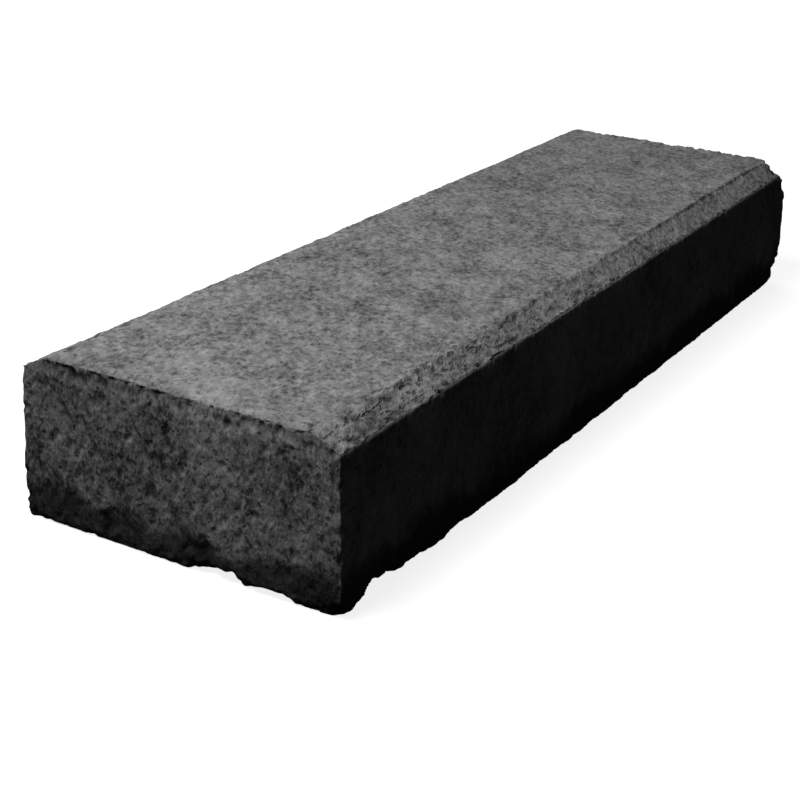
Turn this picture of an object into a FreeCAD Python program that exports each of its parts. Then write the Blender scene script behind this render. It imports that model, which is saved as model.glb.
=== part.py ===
"""A cast concrete sleeper: one solid block, used as a kerb, step or low wall.

The block lies along X and stands on Z = 0, centred on X = 0 and Y = 0. Its
section is the same from end to end and has four levels:

  foot      the face that it lies on, set in by a small bevel
  waist     the widest level, a short upright band just above the foot
  shoulder  where the long sides, which lean in for release, stop
  crown     the top face, which ends at a shallow bevel along each long side

The ends are upright, bevelled at the foot as the sides are, and rounded all
round where they meet the section.
"""

import FreeCAD
import Part

import math
import os

# Overall sizes, in millimetres.
LENGTH = 800.0   # end face to end face, along X
WIDTH = 250.0    # across the waist, along Y
HEIGHT = 120.0   # foot to crown, along Z

# Bevel round the foot, and the upright band above it on the long sides.
FOOT_BEVEL_HEIGHT = 6.0   # waist above the foot
FOOT_BEVEL_INSET = 2.0    # foot in from the waist
WAIST_BAND = 4.0          # height of the upright band

# Long sides and the bevels along the top.
SIDE_LEAN = 3.0         # shoulder in from the waist
SHOULDER_DROP = 10.0    # shoulder below the crown
SHOULDER_WIDTH = 20.0   # crown in from the shoulder

# Rounded arrises. The ends are rounded over the corners of the section, so
# their radius is a share of the section's that stays below 1.
ARRIS_ROUND = 4.0          # radius of every corner of the section
END_ROUND_SHARE = 0.75     # radius round the ends, as a share of ARRIS_ROUND

NODE = "concrete_sleeper"


def rounded_outline(corners):
    """A closed wire of lines, with an arc of ARRIS_ROUND at each corner."""
    count = len(corners)
    arcs = []
    for index, corner in enumerate(corners):
        back = (corners[index - 1] - corner).normalize()
        ahead = (corners[(index + 1) % count] - corner).normalize()
        half_angle = back.getAngle(ahead) / 2
        setback = ARRIS_ROUND / math.tan(half_angle)
        middle_offset = ARRIS_ROUND / math.sin(half_angle) - ARRIS_ROUND
        bisector = (back + ahead).normalize()
        middle = corner + bisector * middle_offset
        arcs.append((corner + back * setback, middle, corner + ahead * setback))
    edges = []
    for index, arc in enumerate(arcs):
        edges.append(Part.Arc(*arc).toShape())
        edges.append(Part.makeLine(arc[2], arcs[(index + 1) % count][0]))
    return Part.Wire(edges)


def prism(half_profile, across, along):
    """The solid that a symmetric closed profile sweeps.

    half_profile lists (distance from the middle, height) from the foot up,
    across is the axis of those distances, and the profile is swept by the
    vector along, centred on the origin.
    """
    up = FreeCAD.Vector(0, 0, 1)
    right = [across * out + up * height for out, height in half_profile]
    left = [across * -out + up * height for out, height in reversed(half_profile)]
    face = Part.Face(rounded_outline(right + left))
    face.translate(along * -0.5)
    return face.extrude(along)


def section_prism():
    """The section, swept along the whole length, with square ends."""
    waist = WIDTH / 2
    shoulder = waist - SIDE_LEAN
    half_section = (
        (waist - FOOT_BEVEL_INSET, 0),
        (waist, FOOT_BEVEL_HEIGHT),
        (waist, FOOT_BEVEL_HEIGHT + WAIST_BAND),
        (shoulder, HEIGHT - SHOULDER_DROP),
        (shoulder - SHOULDER_WIDTH, HEIGHT),
    )
    return prism(half_section, FreeCAD.Vector(0, 1, 0), FreeCAD.Vector(LENGTH, 0, 0))


def end_limits():
    """What the block fills seen from the side: the foot bevels of both ends.

    It is wider and higher than the block, so that it trims only those bevels.
    """
    end = LENGTH / 2
    above = 2 * HEIGHT
    half_profile = (
        (end - FOOT_BEVEL_INSET, 0),
        (end, FOOT_BEVEL_HEIGHT),
        (end, above),
    )
    return prism(half_profile, FreeCAD.Vector(1, 0, 0), FreeCAD.Vector(0, 2 * WIDTH, 0))


def end_loops(body):
    """The edges round both square ends."""
    end = LENGTH / 2
    tolerance = 1e-6
    return [
        edge
        for edge in body.Edges
        if edge.BoundBox.XLength < tolerance
        and abs(abs(edge.BoundBox.XMin) - end) < tolerance
    ]


def sleeper():
    """The whole block."""
    body = section_prism()
    body = body.makeFillet(ARRIS_ROUND * END_ROUND_SHARE, end_loops(body))
    return body.common(end_limits())


def main():
    os.makedirs("parts", exist_ok=True)
    block = sleeper()
    if not block.isValid() or len(block.Solids) != 1:
        raise ValueError("the sleeper is not one valid solid")
    block.Solids[0].exportStep(os.path.join("parts", NODE + ".step"))
    box = block.BoundBox
    print(f"{NODE}: {box.XLength:.1f} x {box.YLength:.1f} x {box.ZLength:.1f} mm")


main()
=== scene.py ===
"""The concrete sleeper's looks: a cast charcoal block with worn arrises.

The CAD block is replaced by one mesh, laid over its surface and worn inwards: a
gentle waviness, crumbled arrises, a lip along the bevels, chips and pits. Finer
relief and the colour come from one procedural material.
"""

import math

import bmesh
import bpy
import numpy as np
from mathutils import Matrix, Vector
from mathutils.bvhtree import BVHTree

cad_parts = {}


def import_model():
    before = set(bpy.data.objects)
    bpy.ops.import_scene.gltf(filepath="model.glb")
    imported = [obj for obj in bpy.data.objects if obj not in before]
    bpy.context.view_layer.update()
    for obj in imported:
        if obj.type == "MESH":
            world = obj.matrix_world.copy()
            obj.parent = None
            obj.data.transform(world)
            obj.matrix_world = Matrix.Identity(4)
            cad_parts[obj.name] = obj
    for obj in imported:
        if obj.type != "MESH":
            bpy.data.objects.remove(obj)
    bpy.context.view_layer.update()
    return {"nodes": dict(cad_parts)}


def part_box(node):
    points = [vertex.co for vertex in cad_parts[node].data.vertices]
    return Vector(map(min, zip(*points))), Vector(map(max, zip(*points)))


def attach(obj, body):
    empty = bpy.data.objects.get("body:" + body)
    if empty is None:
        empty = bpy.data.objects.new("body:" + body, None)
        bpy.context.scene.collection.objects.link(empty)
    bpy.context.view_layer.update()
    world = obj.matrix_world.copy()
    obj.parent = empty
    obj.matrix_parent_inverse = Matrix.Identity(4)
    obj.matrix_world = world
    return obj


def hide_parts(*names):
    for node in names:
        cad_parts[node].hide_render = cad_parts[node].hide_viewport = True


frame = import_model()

NODE = "concrete_sleeper"
MM = 0.001

# The grid that is laid over the block, and what is left of it after thinning.
GRID_STEP = 1.45          # mm between points
TRIANGLES = 192000        # after thinning

# The section's levels, in mm, as the CAD block has them.
FOOT_BEVEL_HEIGHT = 6.0
SIDE_LEAN = 3.0
SHOULDER_DROP = 10.0
SHOULDER_WIDTH = 20.0

low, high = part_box(NODE)
LENGTH, WIDTH, HEIGHT = ((high - low) / MM)[:]
END = LENGTH / 2
WAIST = WIDTH / 2
SHOULDER = WAIST - SIDE_LEAN
CROWN_EDGE = SHOULDER - SHOULDER_WIDTH


# ---------------------------------------------------------------- noise

GRADIENTS = 4096                              # a power of two
SHUFFLE = (73856093, 19349663, 83492791)      # large primes, one for each axis


def noise(points, cell, seed):
    """Smooth noise, about -1 to 1, with features about one cell across."""
    gradients = np.random.default_rng(seed).normal(size=(GRADIENTS, 3))
    gradients /= np.linalg.norm(gradients, axis=1)[:, None]
    spot = points / cell + 31.7 * seed
    corner = np.floor(spot).astype(np.int64)
    inside = spot - corner
    ease = inside ** 3 * (inside * (inside * 6 - 15) + 10)
    total = np.zeros(len(points))
    for step in np.ndindex(2, 2, 2):
        at = corner + step
        key = at[:, 0] * SHUFFLE[0] ^ at[:, 1] * SHUFFLE[1] ^ at[:, 2] * SHUFFLE[2]
        towards = gradients[key & (GRADIENTS - 1)]
        weight = np.prod(np.where(step, ease, 1 - ease), axis=1)
        total += weight * np.einsum("ij,ij->i", towards, inside - step)
    return total * 1.6


def smooth(low_edge, high_edge, value):
    """0 below low_edge, 1 above high_edge, and an even ease between."""
    share = np.clip((value - low_edge) / (high_edge - low_edge), 0, 1)
    return share * share * (3 - 2 * share)


# ---------------------------------------------------------------- the grid

def box_grid():
    """Points and quads of a closed box of square cells, as large as the block."""
    counts = [max(2, round(size / GRID_STEP)) for size in (LENGTH, WIDTH, HEIGHT)]
    lattice = []
    quads = []
    ranges = [np.arange(count + 1) for count in counts]
    stride = np.array([1, counts[0] + 1, (counts[0] + 1) * (counts[1] + 1)])
    for axis in range(3):
        one, two = (axis + 1) % 3, (axis + 2) % 3
        a, b = np.meshgrid(ranges[one], ranges[two], indexing="ij")
        for side in (0, counts[axis]):
            cells = np.empty(a.shape + (3,), dtype=np.int64)
            cells[..., axis], cells[..., one], cells[..., two] = side, a, b
            keys = cells @ stride
            loop = [keys[:-1, :-1], keys[1:, :-1], keys[1:, 1:], keys[:-1, 1:]]
            if side == 0:
                loop.reverse()
            quads.append(np.stack(loop, axis=-1).reshape(-1, 4))
            lattice.append(cells.reshape(-1, 3))
    quads = np.concatenate(quads)
    lattice = np.concatenate(lattice)
    keys, first = np.unique(lattice @ stride, return_index=True)
    size = np.array([LENGTH, WIDTH, HEIGHT])
    points = lattice[first] / np.array(counts) * size - np.array([END, WAIST, 0])
    return points, np.searchsorted(keys, quads)


def cad_surface():
    """A search tree over the CAD block's surface, in mm."""
    mesh = frame["nodes"][NODE].data
    verts = [vert.co / MM for vert in mesh.vertices]
    faces = [tuple(face.vertices) for face in mesh.polygons]
    return BVHTree.FromPolygons(verts, faces)


def lay_on(tree, points):
    """The nearest place on the surface to each point, and the normal there."""
    places = np.empty((len(points), 3))
    normals = np.empty((len(points), 3))
    for row, point in enumerate(points):
        place, normal, _, _ = tree.find_nearest(point)
        places[row] = place
        normals[row] = normal
    return places, normals


# ---------------------------------------------------------------- relief

def arris_distances(p):
    """How far each point is from each kind of arris, in mm."""
    x, y, z = np.abs(p[:, 0]), np.abs(p[:, 1]), p[:, 2]
    to_end = END - x
    to_waist = WAIST - y
    return {
        "shoulder": np.hypot(SHOULDER - y, HEIGHT - SHOULDER_DROP - z),
        "end_top": np.hypot(to_end, HEIGHT - z - np.clip(y - CROWN_EDGE, 0, None) * 0.45),
        "end_side": np.hypot(to_end, to_waist - SIDE_LEAN * z / HEIGHT),
        "foot": np.hypot(np.minimum(to_end, to_waist), z),
        "foot_bevel": np.hypot(np.minimum(to_end, to_waist), FOOT_BEVEL_HEIGHT - z),
    }


# Chips: place on the block (x, y, z), reach along x, y and z, depth.
CHIPS = (
    # the far end, by the long side in view
    ((402, -126, 0), (24, 22, 34), 10.0),
    ((402, -124, HEIGHT - 6), (34, 30, 32), 6.5),
    # the foot of the near end
    ((-400, -30, 0), (20, 26, 12), 6.5),
    ((-398, -70, 0), (14, 20, 7), 3.0),
    ((-402, 52, 16), (9, 9, 12), 2.6),
    ((-402, -22, 18), (9, 12, 14), 3.0),
    # the foot of the long side, by the near end
    ((-400, -126, 0), (14, 16, 16), 7.0),
    ((-352, -126, 0), (30, 22, 13), 10.0),
    ((-310, -126, 0), (22, 14, 7), 3.5),
    ((-250, -125, 0), (26, 12, 6), 2.5),
    # the near end's top
    ((-402, 40, HEIGHT - 1), (9, 12, 7), 2.2),
    ((-402, 12, HEIGHT - 3), (8, 9, 7), 2.2),
    ((-402, -60, HEIGHT - 3), (9, 16, 8), 2.2),
    # the hidden long side and far end
    ((-170, 122, HEIGHT - 4), (26, 12, 9), 3.0),
    ((-60, 122, HEIGHT - 6), (18, 10, 9), 2.8),
    ((60, 122, HEIGHT - 5), (30, 12, 9), 2.4),
    ((20, 125, 2), (26, 14, 10), 5.0),
    ((402, 60, 2), (14, 24, 11), 6.0),
    ((260, 125, 0), (18, 12, 7), 4.0),
)

# Short gouges in the crown: place (x, y), half length, half width, turn, depth.
GOUGES = (
    ((-118, 30), 6.5, 2.0, 0.5, 1.8),
    ((-132, 6), 5.0, 1.8, 0.9, 1.7),
    ((-88, -22), 9.0, 1.6, 0.2, 1.7),
    ((-214, -48), 5.5, 1.8, 0.7, 1.6),
    ((-150, -40), 6.0, 1.5, 0.3, 1.6),
    ((40, 34), 7.0, 1.6, 0.4, 1.4),
    ((180, 10), 6.0, 1.6, 1.1, 1.4),
)

UPRIGHT = np.array([1, 1, 0.6])   # draws the grain of the walls out upwards


def cavities(p, cell, seed, threshold):
    """Scattered hollows where a noise passes a threshold, 0 to about 1."""
    return np.clip(noise(p * UPRIGHT, cell, seed) - threshold, 0, None) / (1 - threshold)


def flats(arris):
    """The faces lie 1 mm inside the CAD block, which sharpens its rounded arrises."""
    return np.minimum(smooth(0.4, 1.7, arris["end_top"]), smooth(1.0, 1.9, arris["end_side"]))


def general_wear(p):
    """Waviness, grain and hollows all over, and crumbled arrises, in mm."""
    arris = arris_distances(p)
    grain = p * UPRIGHT
    depth = 0.1 + flats(arris) + noise(p, 150, 1) * 0.45 + noise(p, 62, 2) * 0.34
    depth += noise(p, 27, 3) * 0.26 + noise(grain, 11, 4) * 0.26
    depth += noise(grain, 5.6, 5) * 0.18 + noise(grain, 3.2, 6) * 0.10

    # Arrises crumble in patches.
    patches = noise(p, 38, 11) * 0.6 + noise(p, 16, 12) * 0.55 + noise(p, 7, 13) * 0.45
    crumbs = np.clip(patches + 0.25, 0, None) * (1 - 0.5 * smooth(0, 300, p[:, 0]))
    for name, reach, amount, fine in (
        ("end_top", 9, 2.6, 0.7),
        ("end_side", 7, 0.9, 0.3),
        ("shoulder", 6, 1.1, 0.5),
        ("foot_bevel", 9, 0.8, 0.3),
        ("foot", 10, 0.6, 0.3),
    ):
        close = np.exp(-(arris[name] / reach) ** 2)
        depth += close * (crumbs * amount + noise(p, 3.8, 14) * fine)

    # Nicks along the top of the ends and along the bevels' lower arrises.
    depth += np.exp(-(arris["end_top"] / 5) ** 2) * cavities(p, 7.5, 43, 0.25) * 7
    depth += np.exp(-(arris["shoulder"] / 4) ** 2) * cavities(p, 6.0, 44, 0.3) * 4

    # Hollows: most in the ends, and most of all below their top.
    at_end = np.exp(-((END - np.abs(p[:, 0])) / 9) ** 2)
    below_top = at_end * smooth(HEIGHT - 24, HEIGHT - 8, p[:, 2])
    much = 0.3 + 0.7 * at_end + 0.5 * below_top
    depth += much * (cavities(p, 5.5, 41, 0.22) * 2.4 + cavities(p, 8.0, 42, 0.42) * 2.6)
    return depth


def bevel_wear(p):
    """The bevels, a step below the crown, in mm.

    The step is a clean lip along the far part, broken up and rough along the
    near one.
    """
    near = smooth(240, -130, p[:, 0])
    y = np.abs(p[:, 1])
    on_top = smooth(HEIGHT - SHOULDER_DROP - 2.6, HEIGHT - SHOULDER_DROP - 0.4, p[:, 2])
    line = p * [1, 0, 0]
    wander = noise(line, 60, 21) * 0.8 + noise(line, 19, 22) * (0.4 + 3.5 * near)
    edge = CROWN_EDGE - 1 + wander + noise(p, 8, 23) * (0.6 + 3.0 * near)
    lip = smooth(edge, edge + 1.2 + 6.0 * near, y)
    lip = lip + (0.6 - lip) * smooth(END - 52, END - 20, np.abs(p[:, 0]))
    depth = lip * (1.3 + 0.4 * noise(p, 45, 24))
    streaks = noise(p * [0.55, 1, 1], 4.5, 27) + 0.6 * noise(p * [0.6, 1, 1], 9, 28)
    rough = smooth(CROWN_EDGE - 16, CROWN_EDGE + 2, y) * (0.35 + 0.65 * near)
    depth += rough * np.clip(streaks + 0.1, 0, None) * 1.3
    return depth * on_top


def inwards(place):
    """The way into the block from a place on one of its arrises or corners."""
    x, y, z = place
    way = np.array([
        -np.sign(x) * (abs(x) > END - 5),
        -np.sign(y) * (abs(y) > WAIST - 8),
        (z < 5) * 1.0 - (z > HEIGHT - 10) * 1.0,
    ])
    return way / np.linalg.norm(way)


def chips(p):
    """How far the chips along the arrises move each place, as vectors in mm."""
    ragged = np.stack([noise(p, 9, 31), noise(p, 9, 32), noise(p, 9, 33)], axis=1) * 0.3
    moved = np.zeros(p.shape)
    for place, reach, deep in CHIPS:
        apart = np.linalg.norm((p - place) / reach + ragged, axis=1)
        moved += np.outer(deep * smooth(1.0, 0.4, apart), inwards(place))
    return moved


def gouges(p):
    """Short gouges in the crown, in mm."""
    ragged = noise(p, 9, 31) * 0.3
    depth = np.zeros(len(p))
    top = smooth(HEIGHT - 3, HEIGHT - 1, p[:, 2])
    for place, half_length, half_width, turn, deep in GOUGES:
        off = p[:, :2] - place
        along = off @ [math.cos(turn), math.sin(turn)] / half_length
        across = off @ [-math.sin(turn), math.cos(turn)] / half_width
        depth += top * deep * smooth(1.0, 0.2, np.hypot(along, across + ragged))
    return depth


def wear(p, normals):
    """How each place on the surface moves as it wears, as vectors in mm.

    The arrises of the ends move as far as both their faces do, so that they
    aren't left proud. The foot itself moves level, and only round its rim, so
    that it lies flat.
    """
    depth = np.clip(general_wear(p) + bevel_wear(p) + gouges(p), 0, None)
    to_end, to_waist = END - np.abs(p[:, 0]), WAIST - np.abs(p[:, 1])
    endward = smooth(-4, 4, to_waist - to_end)
    level = np.stack([np.sign(p[:, 0]) * endward, np.sign(p[:, 1]) * (1 - endward)], axis=1)
    above_foot = smooth(0.02, 3.0, p[:, 2])
    at_rim = (1 - above_foot) * smooth(11, 3, np.minimum(to_end, to_waist))
    steepest = np.maximum(np.abs(normals[:, 0]), np.hypot(normals[:, 1], normals[:, 2]))
    moved = -normals * (depth * above_foot / steepest)[:, None]
    moved[:, :2] -= level * (depth * at_rim)[:, None]
    return moved


def merge(mesh):
    """Join the points that the block's arrises drew together."""
    joined = bmesh.new()
    joined.from_mesh(mesh)
    bmesh.ops.remove_doubles(joined, verts=joined.verts, dist=0.01 * MM)
    joined.to_mesh(mesh)
    joined.free()


def worn_block():
    """The block's mesh: laid on the CAD surface, worn inwards and thinned."""
    tree = cad_surface()
    points, quads = box_grid()
    places, normals = lay_on(tree, points)
    worn = places + wear(places, normals) + chips(places)
    worn[:, 2] = np.clip(worn[:, 2], 0, HEIGHT)

    mesh = bpy.data.meshes.new(NODE + "_worn")
    mesh.vertices.add(len(worn))
    mesh.vertices.foreach_set("co", (worn * MM).ravel())
    mesh.loops.add(quads.size)
    mesh.loops.foreach_set("vertex_index", quads.ravel())
    mesh.polygons.add(len(quads))
    mesh.polygons.foreach_set("loop_start", np.arange(0, quads.size, 4))
    mesh.update(calc_edges=True)
    merge(mesh)
    block = bpy.data.objects.new("worn_sleeper", mesh)
    bpy.context.scene.collection.objects.link(block)

    thin = block.modifiers.new("thin", "DECIMATE")
    thin.ratio = TRIANGLES / (len(mesh.loops) - 2 * len(mesh.polygons))
    thin.use_collapse_triangulate = True
    thinned = bpy.data.meshes.new_from_object(
        block.evaluated_get(bpy.context.evaluated_depsgraph_get())
    )

    # Thinning can draw a point past the CAD block, so each is kept within its box.
    spots = np.empty(len(thinned.vertices) * 3)
    thinned.vertices.foreach_get("co", spots)
    thinned.vertices.foreach_set("co", np.clip(spots.reshape(-1, 3), low, high).ravel())
    block.modifiers.clear()
    block.data = thinned
    bpy.data.meshes.remove(mesh)
    thinned.polygons.foreach_set("use_smooth", np.ones(len(thinned.polygons), dtype=bool))
    add_attributes(thinned, tree)
    return block


def add_attributes(mesh, tree):
    """What the material reads from the shape: how deep the wear goes, which it paints darker as shade,
    and how far it faces up and sideways, by which it paints light and shade.
    """
    points = np.empty(len(mesh.vertices) * 3)
    mesh.vertices.foreach_get("co", points)
    points = points.reshape(-1, 3) / MM
    places, normals = lay_on(tree, points)
    depth = np.einsum("ij,ij->i", places - points, normals)
    mesh.attributes.new("worn", "FLOAT", "POINT").data.foreach_set("value", depth)
    for name, axis in (("up", 2), ("side", 1)):
        facing = np.clip(np.abs(normals[:, axis]), 0, 1) * (normals[:, 2] > -0.1)
        mesh.attributes.new(name, "FLOAT", "POINT").data.foreach_set("value", facing)
    add_map(mesh, places, normals)


def add_map(mesh, places, normals):
    """A texture map of six islands, one for each way that the block faces."""
    gap = 12.0
    sheet = LENGTH + 2 * HEIGHT + 4 * gap
    # Where each island's corner lies: the ends' beside those of the crown and foot.
    corners = {
        (2, 1): (0, 0),
        (2, -1): (0, WIDTH + gap),
        (1, 1): (0, 2 * (WIDTH + gap)),
        (1, -1): (0, 2 * (WIDTH + gap) + HEIGHT + gap),
        (0, 1): (LENGTH + gap, 0),
        (0, -1): (LENGTH + gap, WIDTH + gap),
    }
    count = len(mesh.polygons)
    loops = np.empty(len(mesh.loops), dtype=np.int64)
    mesh.loops.foreach_get("vertex_index", loops)
    loops = loops.reshape(count, 3)
    facing = normals[loops].sum(axis=1)
    facing[:, 2] *= 1.15
    axis = np.abs(facing).argmax(axis=1)
    sign = np.sign(facing[np.arange(count), axis]).astype(int)
    uv = np.empty((count, 3, 2))
    flat = {2: (0, 1), 1: (0, 2), 0: (2, 1)}
    offsets = np.array([END, WAIST, 0])
    for (way, side), corner in corners.items():
        rows = (axis == way) & (sign == side)
        spots = places[loops[rows]] + offsets
        uv[rows] = spots[..., flat[way]] + np.array(corner) + gap
    layer = mesh.uv_layers.new(name="OFBake")
    layer.data.foreach_set("uv", (uv / sheet).ravel())


# ---------------------------------------------------------------- material

class Nodes:
    """A short way to add and join the nodes of one material."""

    def __init__(self, name):
        self.material = bpy.data.materials.new(name)
        self.material.use_nodes = True
        self.tree = self.material.node_tree
        self.tree.nodes.clear()

    def add(self, kind, inputs=None, **settings):
        node = self.tree.nodes.new(kind)
        for key, value in settings.items():
            setattr(node, key, value)
        for key, value in (inputs or {}).items():
            self.put(node.inputs[key], value)
        return node

    def put(self, socket, value):
        if isinstance(value, bpy.types.NodeSocket):
            self.tree.links.new(value, socket)
        else:
            socket.default_value = value

    def math(self, operation, one, two=0.0, clamp=False):
        node = self.add("ShaderNodeMath", {0: one, 1: two}, operation=operation, use_clamp=clamp)
        return node.outputs[0]

    def band(self, value, from_low, from_high, to_low=0.0, to_high=1.0):
        """An even ease between two levels, as the value passes between two others."""
        inputs = {
            "Value": value,
            "From Min": from_low,
            "From Max": from_high,
            "To Min": to_low,
            "To Max": to_high,
        }
        node = self.add("ShaderNodeMapRange", inputs, interpolation_type="SMOOTHSTEP")
        return node.outputs["Result"]

    def swing(self, field, much):
        """A field from 0 to 1, turned into a swing about zero."""
        return self.math("MULTIPLY", self.math("SUBTRACT", field, 0.5), much)

    def noise(self, where, scale, detail=2.0, roughness=0.5, distortion=0.0):
        inputs = {
            "Vector": where,
            "Scale": scale,
            "Detail": detail,
            "Roughness": roughness,
            "Distortion": distortion,
        }
        return self.add("ShaderNodeTexNoise", inputs).outputs["Fac"]

    def vectors(self, operation, one, two):
        node = self.add("ShaderNodeVectorMath", {0: one, 1: two}, operation=operation)
        return node.outputs[0]

    def stretch(self, where, factors):
        return self.vectors("MULTIPLY", where, factors)

    def bend(self, where, scale, reach):
        """A noise vector up to about reach long, to bend a pattern with."""
        field = self.add("ShaderNodeTexNoise", {"Vector": where, "Scale": scale}).outputs["Color"]
        middle = self.vectors("SUBTRACT", field, (0.5, 0.5, 0.5))
        return self.vectors("MULTIPLY", middle, (reach * 2,) * 3)

    def cells(self, where, scale):
        return self.add("ShaderNodeTexVoronoi", {"Vector": where, "Scale": scale})

    def attribute(self, name):
        return self.add("ShaderNodeAttribute", attribute_name=name).outputs["Fac"]


def concrete():
    """Charcoal concrete: sandy, mottled and pitted, with its crown painted lighter, its walls, pits,
    creases and hollows painted darker as shade, and a painted shadow along its foot.
    """
    n = Nodes("charcoal_concrete")
    here = n.add("ShaderNodeTexCoord").outputs["Object"]
    turned = n.add(
        "ShaderNodeVectorRotate", {"Vector": here, "Angle": math.radians(-30)}, rotation_type="Z_AXIS"
    ).outputs[0]
    where = n.stretch(turned, (0.82, 1, 0.66))
    axes = n.add("ShaderNodeSeparateXYZ", {0: here})
    signed_along = axes.outputs[0]
    along = n.math("ABSOLUTE", signed_along)
    across = n.math("ABSOLUTE", axes.outputs[1])
    height_up = axes.outputs[2]
    up = n.attribute("up")
    side = n.attribute("side")
    worn = n.attribute("worn")

    blotch = n.noise(here, 15.0, 3.0, 0.55)
    patch = n.noise(where, 36.0, 3.0, 0.6, 0.5)
    clump = n.noise(where, 100.0, 2.0, 0.6)
    sand = n.noise(where, 215.0, 2.5, 0.6)
    grit = n.noise(where, 480.0, 1.5, 0.5)

    # Irregular pits, painted dark further on as shade in them, closest together where the patches are
    # dark.
    pit_field = n.noise(where, 270.0, 1.5, 0.5)
    pit_limit = n.math("ADD", n.band(patch, 0.3, 0.7, 0.455, 0.36), n.band(up, 0.2, 0.9, 0.0, 0.006))
    pit_limit = n.math("SUBTRACT", pit_limit, n.math("MULTIPLY", side, 0.06))
    pits = n.band(n.math("SUBTRACT", pit_limit, pit_field), 0.0, 0.08)
    flecks = n.band(pit_field, 0.57, 0.70)

    # Open pores, a few mm across, most of them in the ends.
    bent = n.vectors("ADD", here, n.bend(here, 260.0, 0.0022))
    holes = pits
    for scale, share, reach in ((150.0, 0.42, 0.85), (60.0, 0.2, 1.0)):
        pore_field = n.cells(bent, scale)
        pore_pick = n.add("ShaderNodeSeparateColor", {"Color": pore_field.outputs["Color"]}).outputs[0]
        pore_share = n.band(up, 0.2, 0.9, share, 0.4 * share)
        pore_share = n.math("SUBTRACT", pore_share, n.math("MULTIPLY", side, 0.16))
        pore_size = n.math("MULTIPLY", n.math("SUBTRACT", pore_share, pore_pick), reach, clamp=True)
        pores = n.band(n.math("SUBTRACT", pore_size, pore_field.outputs["Distance"]), -0.04, 0.1)
        holes = n.math("MAXIMUM", holes, pores)

    # A painted shadow along the line where the crown ends, below the lip of its step, crisp along the
    # far part, and dark streaks along the bevels, which are strongest along the near part.
    edge = n.math("ADD", across, n.swing(clump, 0.003))
    off_line = n.math("ABSOLUTE", n.math("SUBTRACT", edge, (CROWN_EDGE - 0.2) * MM))
    line = n.math("MULTIPLY", n.band(off_line, 0.0018, 0.0006), n.band(up, 0.5, 0.9))
    in_patches = n.math("MULTIPLY", n.band(patch, 0.55, 0.65), 0.6)
    broken = n.math("MAXIMUM", n.band(signed_along, 0.12, 0.22), in_patches)
    line = n.math("MULTIPLY", line, n.math("MULTIPLY", broken, n.band(signed_along, 0.375, 0.34)))
    line = n.math("MULTIPLY", line, n.band(sand, 0.4, 0.6, 1.0, 0.35))
    streak_field = n.noise(n.stretch(here, (0.45, 1, 1)), 240.0, 2.0, 0.6)
    past_crown = n.band(across, (CROWN_EDGE - 16) * MM, CROWN_EDGE * MM)
    on_bevel = n.math("MULTIPLY", past_crown, n.band(up, 0.3, 0.7))
    near = n.band(signed_along, -0.28, 0.12, 1.0, 0.15)
    streaks = n.math("MULTIPLY", n.band(streak_field, 0.45, 0.36), n.math("MULTIPLY", on_bevel, near))
    cracks = n.math("MAXIMUM", streaks, n.math("MULTIPLY", line, 0.75))

    # Corners and bevels are rubbed lighter.
    by_end = n.band(along, (END - 40) * MM, (END - 6) * MM)
    rubbed = n.math("MAXIMUM", by_end, n.math("MULTIPLY", on_bevel, 0.8))
    rubbed = n.math("MULTIPLY", rubbed, n.band(up, 0.5, 0.9))

    tone = n.swing(blotch, n.band(up, 0.3, 0.9, 2.6, 0.8))
    grit_share = n.band(up, 0.3, 0.9, 1.9, 0.8)
    for field, much in ((patch, 1.25), (clump, 1.5), (sand, 1.9), (grit, grit_share)):
        tone = n.math("ADD", tone, n.swing(field, much))
    # The long sides are painted darker: painted shade on the walls.
    tone = n.math("MULTIPLY", tone, n.band(side, 0.5, 0.9, 1.0, 0.6))
    tone = n.math("ADD", tone, n.math("MULTIPLY", flecks, 0.2))
    tone = n.math("ADD", tone, n.math("MULTIPLY", rubbed, 0.14))
    tone = n.math("ADD", tone, 1.02)
    # Pits and pores are painted darker: painted shade in these hollows.
    tone = n.math("MULTIPLY", tone, n.band(holes, 0.0, 1.0, 1.0, n.band(up, 0.2, 0.9, 0.38, 0.55)))
    # The crown's edge line and the bevel streaks are painted darker: painted shade in these creases.
    tone = n.math("MULTIPLY", tone, n.band(cracks, 0.0, 1.0, 1.0, 0.4))
    # Places worn deep into the block, its chips, gouges and hollows, are painted darker: painted
    # shade.
    tone = n.math("MULTIPLY", tone, n.band(worn, 1.0, 5.0, 1.0, 0.6))

    # The foot is painted dark up to an uneven line: a painted shadow where the block meets the floor.
    foot_shadow_line = n.math("ADD", height_up, n.swing(patch, 0.05))
    tone = n.math("MULTIPLY", tone, n.band(foot_shadow_line, 0.016, 0.038, 0.18, 1.0))

    # The crown and bevels are painted lighter and the walls darker, up to ragged lines: painted light
    # and shade by the way each faces.
    ragged = n.swing(sand, 0.8)
    base_and_painted_crown_light = n.band(n.math("ADD", up, ragged), 0.40, 0.66, 0.105, 0.168)
    painted_wall_shade = n.band(n.math("ADD", side, ragged), 0.62, 0.82, 1.0, 0.66)
    face = n.math("MULTIPLY", base_and_painted_crown_light, painted_wall_shade)
    value = n.math("MAXIMUM", n.math("MULTIPLY", tone, face), 0.01)
    colour = n.add("ShaderNodeCombineColor", {0: value, 1: value, 2: value}).outputs[0]

    height = n.math("MULTIPLY", clump, 1.3)
    for field, much in ((patch, 0.7), (sand, 1.1), (grit, 0.3), (holes, -0.18), (cracks, -0.5)):
        height = n.math("ADD", height, n.math("MULTIPLY", field, much))
    strength = n.math("MULTIPLY", n.band(up, 0.3, 0.8, 0.6, 0.8), n.band(side, 0.5, 0.9, 1.0, 0.8))
    bump = n.add("ShaderNodeBump", {"Strength": strength, "Distance": 0.002, "Height": height})

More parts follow.
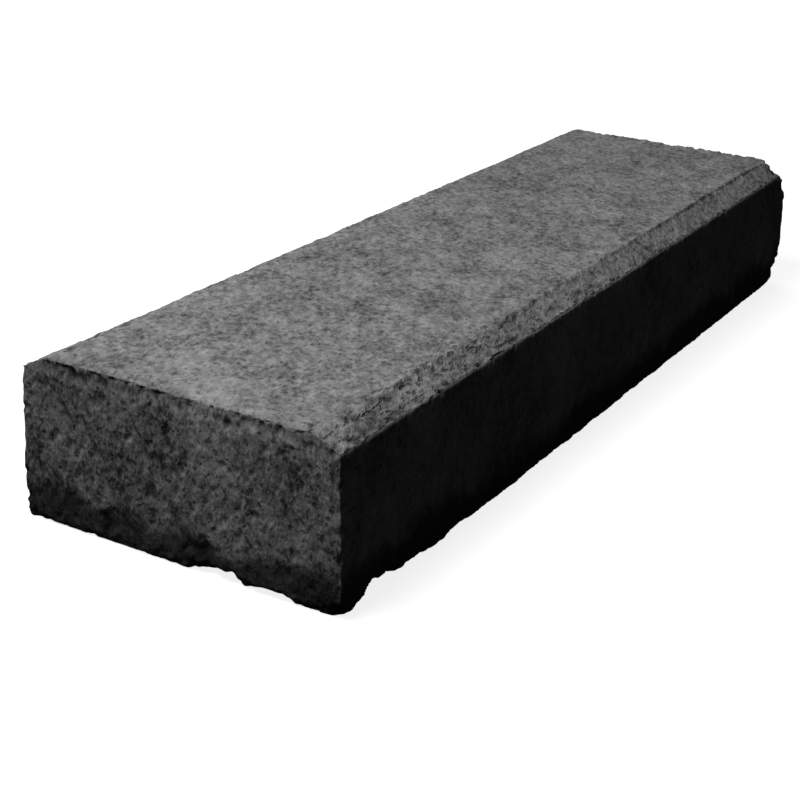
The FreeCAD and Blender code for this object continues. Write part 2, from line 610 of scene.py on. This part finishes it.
    rough = n.band(sand, 0.3, 0.7, 0.86, 0.97)
    shader = n.add("ShaderNodeBsdfPrincipled", {
        "Base Color": colour,
        "Roughness": rough,
        "Normal": bump.outputs["Normal"],
        "Specular IOR Level": 0.25,
    })
    n.add("ShaderNodeOutputMaterial", {"Surface": shader.outputs[0]})
    return n.material


# ---------------------------------------------------------------- the object

block = worn_block()
block.data.materials.append(concrete())
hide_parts(NODE)
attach(block, "root")


# ---------------------------------------------------------------- the stage

def floor():
    """A pale floor. It shows white, keeps the shadow and throws little back.

    Further out, where the lamps fall off, it glows more, so that it stays white.
    """
    bpy.ops.mesh.primitive_plane_add(size=16.0)
    plane = bpy.context.active_object
    plane.name = "floor"
    n = Nodes("pale_floor")
    seen = n.add("ShaderNodeLightPath").outputs["Is Camera Ray"]
    lit = n.add("ShaderNodeBsdfDiffuse", {"Color": (0.4, 0.4, 0.4, 1)}).outputs[0]
    here = n.add("ShaderNodeTexCoord").outputs["Object"]
    away = n.add("ShaderNodeVectorMath", {0: here}, operation="LENGTH").outputs["Value"]
    level = n.band(away, 0.75, 2.2, 0.84, 1.0)
    glow = n.add("ShaderNodeEmission", {"Color": (1, 1, 1, 1), "Strength": level}).outputs[0]
    shown = n.add("ShaderNodeAddShader", {0: lit, 1: glow}).outputs[0]
    unseen = n.add("ShaderNodeBsdfDiffuse", {"Color": (0.045, 0.045, 0.045, 1)}).outputs[0]
    mixed = n.add("ShaderNodeMixShader", {0: seen, 1: unseen, 2: shown}).outputs[0]
    n.add("ShaderNodeOutputMaterial", {"Surface": mixed})
    plane.data.materials.append(n.material)


def lamp(name, place, target, size, power):
    """A square soft lamp."""
    light = bpy.data.lights.new(name, "AREA")
    light.shape = "SQUARE"
    light.size = size
    light.energy = power
    holder = bpy.data.objects.new(name, light)
    holder.location = place
    holder.rotation_euler = (Vector(target) - Vector(place)).to_track_quat("-Z", "Y").to_euler()
    bpy.context.scene.collection.objects.link(holder)


def world():
    """White to the camera, and a weak even fill for everything else."""
    sky = bpy.data.worlds.new("studio")
    sky.use_nodes = True
    tree = sky.node_tree
    background = tree.nodes["Background"]
    background.inputs["Color"].default_value = (1, 1, 1, 1)
    path = tree.nodes.new("ShaderNodeLightPath")
    level = tree.nodes.new("ShaderNodeMapRange")
    level.inputs["To Min"].default_value = 0.065
    level.inputs["To Max"].default_value = 1.0
    tree.links.new(path.outputs["Is Camera Ray"], level.inputs["Value"])
    tree.links.new(level.outputs["Result"], background.inputs["Strength"])
    bpy.context.scene.world = sky


# The camera that was fitted to the photograph: degrees, then mm, then metres.
AZIMUTH = -60.0
ELEVATION = 22.8
ROLL = 2.07
LENS = 71.4
DISTANCE = 1.293
SHIFT_LEFT = 0.0649
SHIFT_DOWN = 0.0768
AIM = Vector((0, 0, 0.06))


def camera():
    """The photograph's view: from the left of the long side, a little above."""
    azimuth = math.radians(AZIMUTH)
    elevation = math.radians(ELEVATION)
    roll = math.radians(ROLL)
    back = Vector((
        math.sin(azimuth) * math.cos(elevation),
        -math.cos(azimuth) * math.cos(elevation),
        math.sin(elevation),
    ))
    right = Vector((0, 0, 1)).cross(back).normalized()
    up = back.cross(right)
    turned_right = right * math.cos(roll) + up * math.sin(roll)
    turned_up = up * math.cos(roll) - right * math.sin(roll)
    data = bpy.data.cameras.new("camera")
    data.sensor_width = 36.0
    data.lens = LENS
    holder = bpy.data.objects.new("camera", data)
    place = back * DISTANCE - turned_right * SHIFT_LEFT - turned_up * SHIFT_DOWN + AIM
    turn = Matrix((turned_right, turned_up, back)).transposed()
    holder.matrix_world = Matrix.Translation(place) @ turn.to_4x4()
    bpy.context.scene.collection.objects.link(holder)
    bpy.context.scene.camera = holder


floor()
world()
camera()
lamp("key", place=(-0.88, 0.34, 1.50), target=(-0.05, 0.0, 0.1), size=0.8, power=27.5)
lamp("fill", place=(1.5, 1.1, 1.1), target=(0.1, 0.0, 0.06), size=1.0, power=11.0)
bpy.context.scene.view_settings.view_transform = "Standard"
